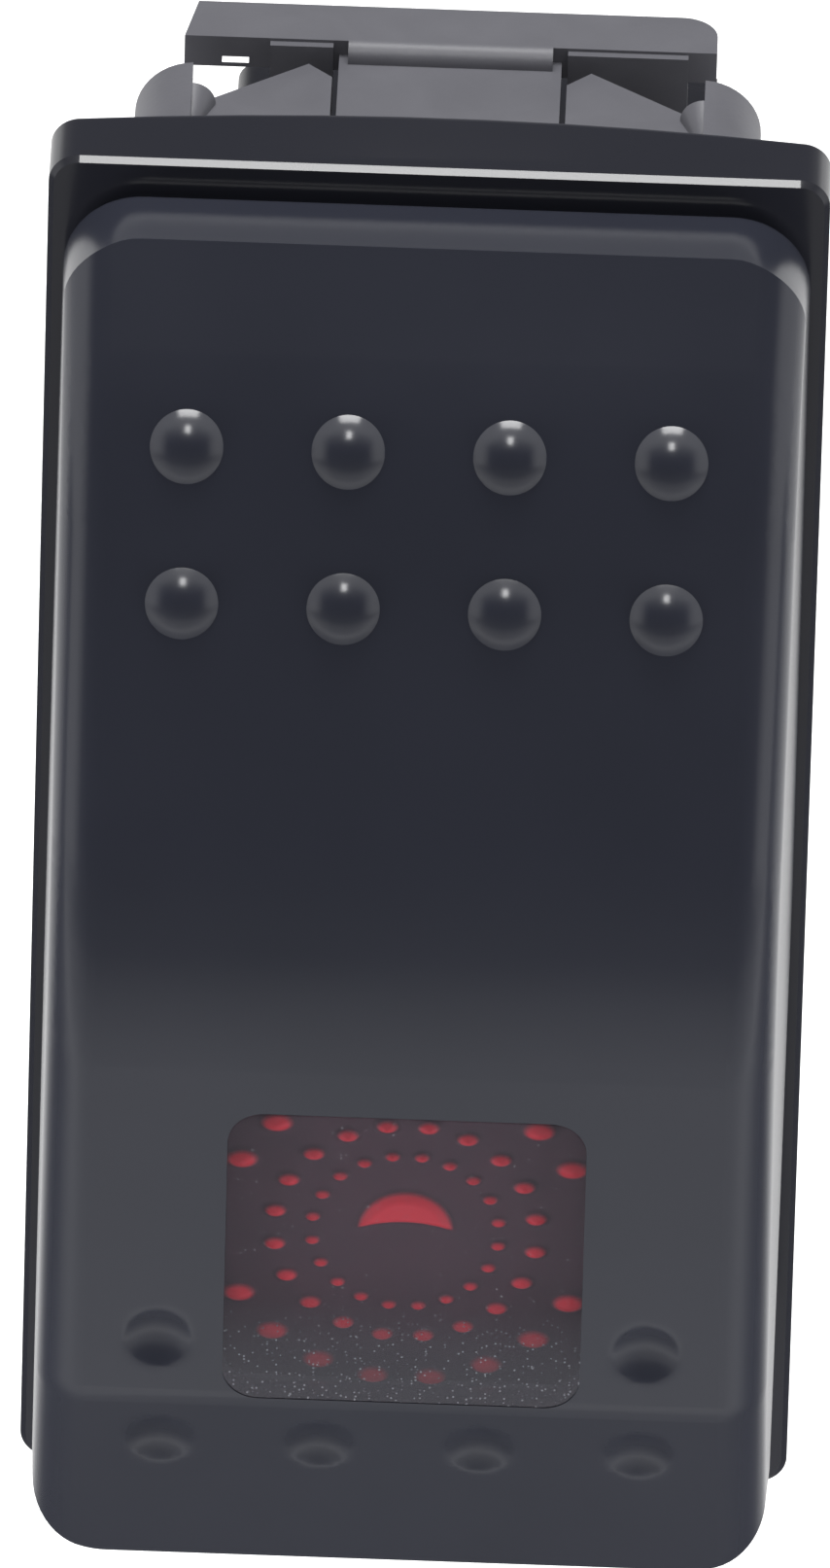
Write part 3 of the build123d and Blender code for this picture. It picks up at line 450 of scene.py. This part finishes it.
shape.faces.new(back_rim)
bmesh.ops.recalc_face_normals(shape, faces=shape.faces)

red, tree, out, place = blank("polycarbonate_red_printed")
raised = add(tree, "VectorMath", {0: place, 1: tuple(facing)}, operation="DOT_PRODUCT").outputs["Value"]
bare = add(tree, "MapRange", {
    "Value": raised, "From Min": plate_front / mm + 0.03,
    "From Max": plate_front / mm + 0.16}).outputs["Result"]
# The print is thin and cloudy, so some red shows through it in patches of a few millimetres
thin = add(tree, "TexNoise", {"Vector": place, "Scale": 0.45, "Detail": 3.0}).outputs["Fac"]
print_tone = add(tree, "Mix", {
    "Factor": thin, "A": linear("574b54"), "B": linear("6c4f59")}, data_type="RGBA")
tone = add(tree, "Mix", {
    "Factor": bare, "A": print_tone.outputs["Result"], "B": linear("f23848")}, data_type="RGBA")
shader = add(tree, "BsdfPrincipled", {
    "Base Color": tone.outputs["Result"], "Roughness": 0.45, "IOR": 1.585})
# The hills get a painted glow, an emission that makes their clear red brighter than the lamps make it
painted_glow = add(tree, "Math", {0: bare, 1: 0.3}, operation="MULTIPLY").outputs["Value"]
tree.links.new(tone.outputs["Result"], shader.inputs["Emission Color"])
tree.links.new(painted_glow, shader.inputs["Emission Strength"])
tree.links.new(shader.outputs["BSDF"], out.inputs["Surface"])
for edge in shape.edges:
    edge.smooth = edge.calc_face_angle(0) < radians(50)
finish_piece("diffuser_plate", shape, red, "diffuser", "actuator")

# ------------------------------------------------------------------ lens
# Smoked clear polycarbonate, moulded with the same satin skin as the rocker and clipped in
# from behind.  Fine dust has settled on its lower part.
smoke, tree, out, place = blank("polycarbonate_smoked_moulded")
lens_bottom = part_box("lens")[0][2] / mm
row = add(tree, "SeparateXYZ", {0: place}).outputs["Z"]
lower = add(tree, "MapRange", {
    "Value": row, "From Min": lens_bottom + 1.0, "From Max": lens_bottom + 5.0,
    "To Min": 1.0, "To Max": 0.0}, interpolation_type="SMOOTHSTEP").outputs["Result"]
# Specks of dust are drawn at about 0.07 mm across, in some of the cells 0.15 mm apart
cells = add(tree, "TexVoronoi", {"Vector": place, "Scale": 6.5}, feature="F1")
speck = add(tree, "Math", {0: cells.outputs["Distance"], 1: 0.24}, operation="LESS_THAN").outputs["Value"]
chosen = add(tree, "SeparateColor", {0: cells.outputs["Color"]}).outputs["Red"]
few = add(tree, "MapRange", {"Value": lower, "To Min": 0.03, "To Max": 0.4}).outputs["Result"]
picked = add(tree, "Math", {0: chosen, 1: few}, operation="LESS_THAN").outputs["Value"]
dusty = add(tree, "Math", {0: speck, 1: picked}, operation="MULTIPLY").outputs["Value"]
haze = add(tree, "MapRange", {"Value": lower, "To Min": 0.2, "To Max": 0.48}).outputs["Result"]
hidden = add(tree, "Math", {0: dusty, 1: 0.25, 2: haze}, operation="MULTIPLY_ADD").outputs["Value"]
skin = add(tree, "Mix", {
    "Factor": dusty, "A": linear("56565e"), "B": linear("8c8c93")}, data_type="RGBA")
body = add(tree, "BsdfPrincipled", {
    "Base Color": skin.outputs["Result"], "Roughness": 0.22, "IOR": 1.585})
clear = add(tree, "BsdfTransparent", {"Color": linear("f4eef2")})
mixed = add(tree, "MixShader", {0: hidden, 1: clear.outputs["BSDF"], 2: body.outputs["BSDF"]})
tree.links.new(mixed.outputs["Shader"], out.inputs["Surface"])
# It fills the window from side to side, where the CAD leaves a clearance
shape = joined("lens")
fit = 0.05 * mm
front_half = 5.9 * mm       # half the window's width; what lies further out is the flange
for vertex in shape.verts:
    if abs(vertex.co.x) < front_half:
        vertex.co.x *= front_half / (front_half - fit)
finish_piece("lens_moulding", shape, smoke, "lens", "actuator")

# ------------------------------------------------------------------ studio
# A white table well below the part, lit softly from overhead.  The room is dark towards the
# camera, with white cards left and right, so that satin black stays black.


def slab(name, corners, material):
    """A flat sheet through four corners."""
    mesh = bpy.data.meshes.new(name)
    mesh.from_pydata(corners, [], [(0, 1, 2, 3)])
    sheet = bpy.data.objects.new(name, mesh)
    bpy.context.collection.objects.link(sheet)
    mesh.materials.append(material)
    return sheet


def set_stops(band, stops):
    """Gives a colour ramp grey stops, from pairs of a value and a radiance of up to 1."""
    low, high = stops[0][0], stops[-1][0]
    elements = band.color_ramp.elements
    for value, _ in stops[1:-1]:
        elements.new((value - low) / (high - low))
    for element, (_, level) in zip(elements, stops):
        element.color = (level, level, level, 1)


floor_level = -0.12
table, tree, out, place = blank("paper_white")
rays = add(tree, "LightPath")
matt = add(tree, "BsdfDiffuse", {"Color": linear("f4f4f4")})
# What the camera sees of the paper is lifted to white, and the part's shadow stays on it
lift = add(tree, "Math", {0: rays.outputs["Is Camera Ray"], 1: 0.55}, operation="MULTIPLY").outputs["Value"]
veil = add(tree, "Emission", {"Color": (1, 1, 1, 1), "Strength": lift})
plain = add(tree, "AddShader", {0: matt.outputs["BSDF"], 1: veil.outputs["Emission"]})
# For glossy rays the table shows a painted reflection instead: bright in front of the part and
# behind it, with a painted shadow under it.  Each stop is a place along Y in millimetres and a radiance.
painted_reflection_stops = (
    (-500, 0.05), (-390, 0.2), (-135, 0.6), (-112, 1.0), (-80, 0.55),
    (-46, 0.2), (0, 0.1), (40, 0.15), (90, 0.6), (130, 1.0))
away_back = add(tree, "SeparateXYZ", {0: place}).outputs["Y"]
share = add(tree, "MapRange", {
    "Value": away_back, "From Min": painted_reflection_stops[0][0], "From Max": painted_reflection_stops[-1][0]}).outputs["Result"]
band = add(tree, "ValToRGB", {"Fac": share})
set_stops(band, painted_reflection_stops)
painted_reflection = add(tree, "Emission", {"Color": band.outputs["Color"]})
paper = add(tree, "MixShader", {
    0: rays.outputs["Is Glossy Ray"], 1: plain.outputs["Shader"], 2: painted_reflection.outputs["Emission"]})
tree.links.new(paper.outputs["Shader"], out.inputs["Surface"])
front, back, side = -0.6, 0.9, 0.8
slab("floor", [(-side, front, floor_level), (side, front, floor_level),
               (side, back, floor_level), (-side, back, floor_level)], table)


def softbox(name, azimuth, elevation, distance, width, height, radiance):
    """An area lamp that faces the part from a direction, at a given brightness of its surface."""
    lamp = bpy.data.lights.new(name, "AREA")
    lamp.shape = "RECTANGLE"
    lamp.size = width
    lamp.size_y = height
    lamp.energy = radiance * pi * width * height
    thing = bpy.data.objects.new(name, lamp)
    bpy.context.collection.objects.link(thing)
    a, e = radians(azimuth), radians(elevation)
    away = Vector((sin(a) * cos(e), -cos(a) * cos(e), sin(e)))
    thing.location = away * distance
    thing.rotation_euler = away.to_track_quat("Z", "Y").to_euler()
    return thing


softbox("key", azimuth=0, elevation=63, distance=0.6, width=0.11, height=0.17, radiance=13.0)
softbox("overhead", azimuth=0, elevation=104, distance=0.8, width=0.5, height=0.3, radiance=10.0)
# Two small lamps low at the sides fill the shadows and leave no spots in the glossy dots
for name, azimuth in (("low_left", -62), ("low_right", 62)):
    fill = softbox(name, azimuth, elevation=-20, distance=0.1, width=0.07, height=0.05, radiance=5.0)
    fill.visible_glossy = False

world = bpy.data.worlds.new("studio")
bpy.context.scene.world = world
world.use_nodes = True
tree = world.node_tree
tree.nodes.clear()
direction = add(tree, "SeparateXYZ", {0: add(tree, "TexCoord").outputs["Generated"]})
ahead = add(tree, "Math", {0: direction.outputs["Y"], 1: -1.0}, operation="MULTIPLY").outputs["Value"]
height = add(tree, "Math", {0: direction.outputs["Z"], 1: ahead}, operation="ARCTAN2").outputs["Value"]
degrees_up = add(tree, "Math", {0: height, 1: 180 / pi}, operation="MULTIPLY").outputs["Value"]
# Each stop is an angle from straight ahead of the face, over the top, and a radiance
room_stops = (
    (-180, 1.0), (-20, 0.25), (-5, 0.08), (10, 0.02), (36, 0.02), (55, 0.3),
    (75, 1.0), (105, 1.0), (118, 0.1), (150, 0.1), (165, 0.3), (180, 1.0))
share = add(tree, "MapRange", {
    "Value": degrees_up, "From Min": room_stops[0][0], "From Max": room_stops[-1][0]}).outputs["Result"]
band = add(tree, "ValToRGB", {"Fac": share})
set_stops(band, room_stops)
sideways = add(tree, "Math", {0: direction.outputs["X"]}, operation="ABSOLUTE").outputs["Value"]
cards = add(tree, "MapRange", {"Value": sideways, "From Min": 0.7, "From Max": 0.9}).outputs["Result"]
room = add(tree, "Mix", {
    "Factor": cards, "A": band.outputs["Color"], "B": (0.9, 0.9, 0.9, 1.0)}, data_type="RGBA")
dim = add(tree, "Background", {"Color": room.outputs["Result"]})
white = add(tree, "Background", {"Color": (1, 1, 1, 1)})
seen = add(tree, "LightPath").outputs["Is Camera Ray"]
mixed = add(tree, "MixShader", {0: seen, 1: dim.outputs["Background"], 2: white.outputs["Background"]})
add(tree, "OutputWorld", {"Surface": mixed.outputs["Shader"]})

# The camera looks down on the face through a long lens, turned a little about its own axis
azimuth, elevation, roll = radians(0.73), radians(32.12), radians(1.64)
distance = 1.3
picture_height = 51.669       # millimetres of the part that the picture takes in, top to bottom
away = Vector((sin(azimuth) * cos(elevation), -cos(azimuth) * cos(elevation), sin(elevation)))
level_right = (-away).cross(Vector((0, 0, 1))).normalized()
level_up = level_right.cross(-away)
right = level_right * cos(roll) + level_up * sin(roll)
up = level_up * cos(roll) - level_right * sin(roll)
middle = Vector((0, -0.0065, 0)) + right * -0.0001 + up * 0.003232
camera = bpy.data.cameras.new("camera")
camera.sensor_fit = "VERTICAL"
camera.sensor_width = 36.0
camera.sensor_height = 36.0
camera.lens = camera.sensor_height * distance * 1000 / picture_height
camera.clip_start, camera.clip_end = 0.001, 10.0
viewer = bpy.data.objects.new("camera", camera)
bpy.context.collection.objects.link(viewer)
viewer.matrix_world = Matrix((
    (right.x, up.x, away.x, 0), (right.y, up.y, away.y, 0), (right.z, up.z, away.z, 0), (0, 0, 0, 1)))
viewer.location = middle + away * distance
bpy.context.scene.camera = viewer
bpy.context.scene.view_settings.view_transform = "Standard"
